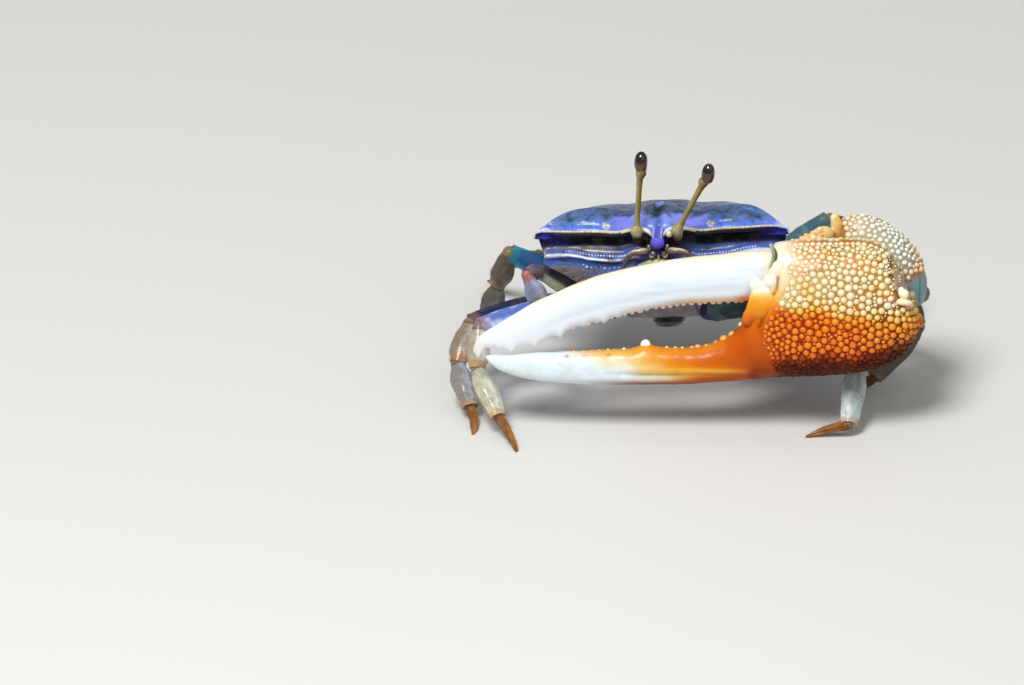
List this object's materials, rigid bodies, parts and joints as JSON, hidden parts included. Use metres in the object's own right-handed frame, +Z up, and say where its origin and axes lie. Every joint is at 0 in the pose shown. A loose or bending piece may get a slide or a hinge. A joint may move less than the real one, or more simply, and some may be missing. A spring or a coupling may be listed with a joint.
{
  "type": "fiddler crab",
  "caption": "Male fiddler crab standing on its toes with its great beaded claw held shut across its front and its eyes raised on stalks.",
  "frame": {"origin": "on the floor under the middle of the whole animal's box", "axes": "+Z up, the crab faces -Y, and its left side with the great claw's palm is at +X"},
  "size_m": [0.0568, 0.0476, 0.0306],
  "materials": {
    "shell": "glossy violet-blue crab shell",
    "belly": "grey-blue under shell",
    "stalk": "olive eyestalk shell",
    "eye": "wet brown-black eye",
    "mouth": "pale blue-grey mouth plate",
    "leg": "wet grey leg shell",
    "toe": "brown toe horn",
    "palm": "orange beaded claw shell",
    "finger": "white claw shell",
    "arm": "dark teal arm shell"
  },
  "bodies": {
    "root": {"abdomen": "belly", "antenna_left": "stalk", "antenna_right": "stalk", "carapace": "shell", "eye_left": "eye", "eye_right": "eye", "eyestalk_left": "stalk", "eyestalk_right": "stalk", "leg_left_1_carpus": "leg", "leg_left_1_dactyl": "toe", "leg_left_1_merus": "leg", "leg_left_1_propodus": "leg", "leg_left_2_carpus": "leg", "leg_left_2_dactyl": "toe", "leg_left_2_merus": "leg", "leg_left_2_propodus": "leg", "leg_left_3_carpus": "leg", "leg_left_3_dactyl": "toe", "leg_left_3_merus": "leg", "leg_left_3_propodus": "leg", "leg_left_4_carpus": "leg", "leg_left_4_dactyl": "toe", "leg_left_4_merus": "leg", "leg_left_4_propodus": "leg", "leg_right_1_carpus": "leg", "leg_right_1_dactyl": "toe", "leg_right_1_merus": "leg", "leg_right_1_propodus": "leg", "leg_right_2_carpus": "leg", "leg_right_2_dactyl": "toe", "leg_right_2_merus": "leg", "leg_right_2_propodus": "leg", "leg_right_3_carpus": "leg", "leg_right_3_dactyl": "toe", "leg_right_3_merus": "leg", "leg_right_3_propodus": "leg", "leg_right_4_carpus": "leg", "leg_right_4_dactyl": "toe", "leg_right_4_merus": "leg", "leg_right_4_propodus": "leg", "major_carpus": "palm", "major_dactyl": "finger", "major_merus": "arm", "major_palm": "palm", "major_pollex": "finger", "minor_carpus": "arm", "minor_dactyl": "finger", "minor_merus": "arm", "minor_propodus": "arm", "mouthpart_left": "mouth", "mouthpart_right": "mouth", "thorax": "belly"}
  },
  "joints": []
}
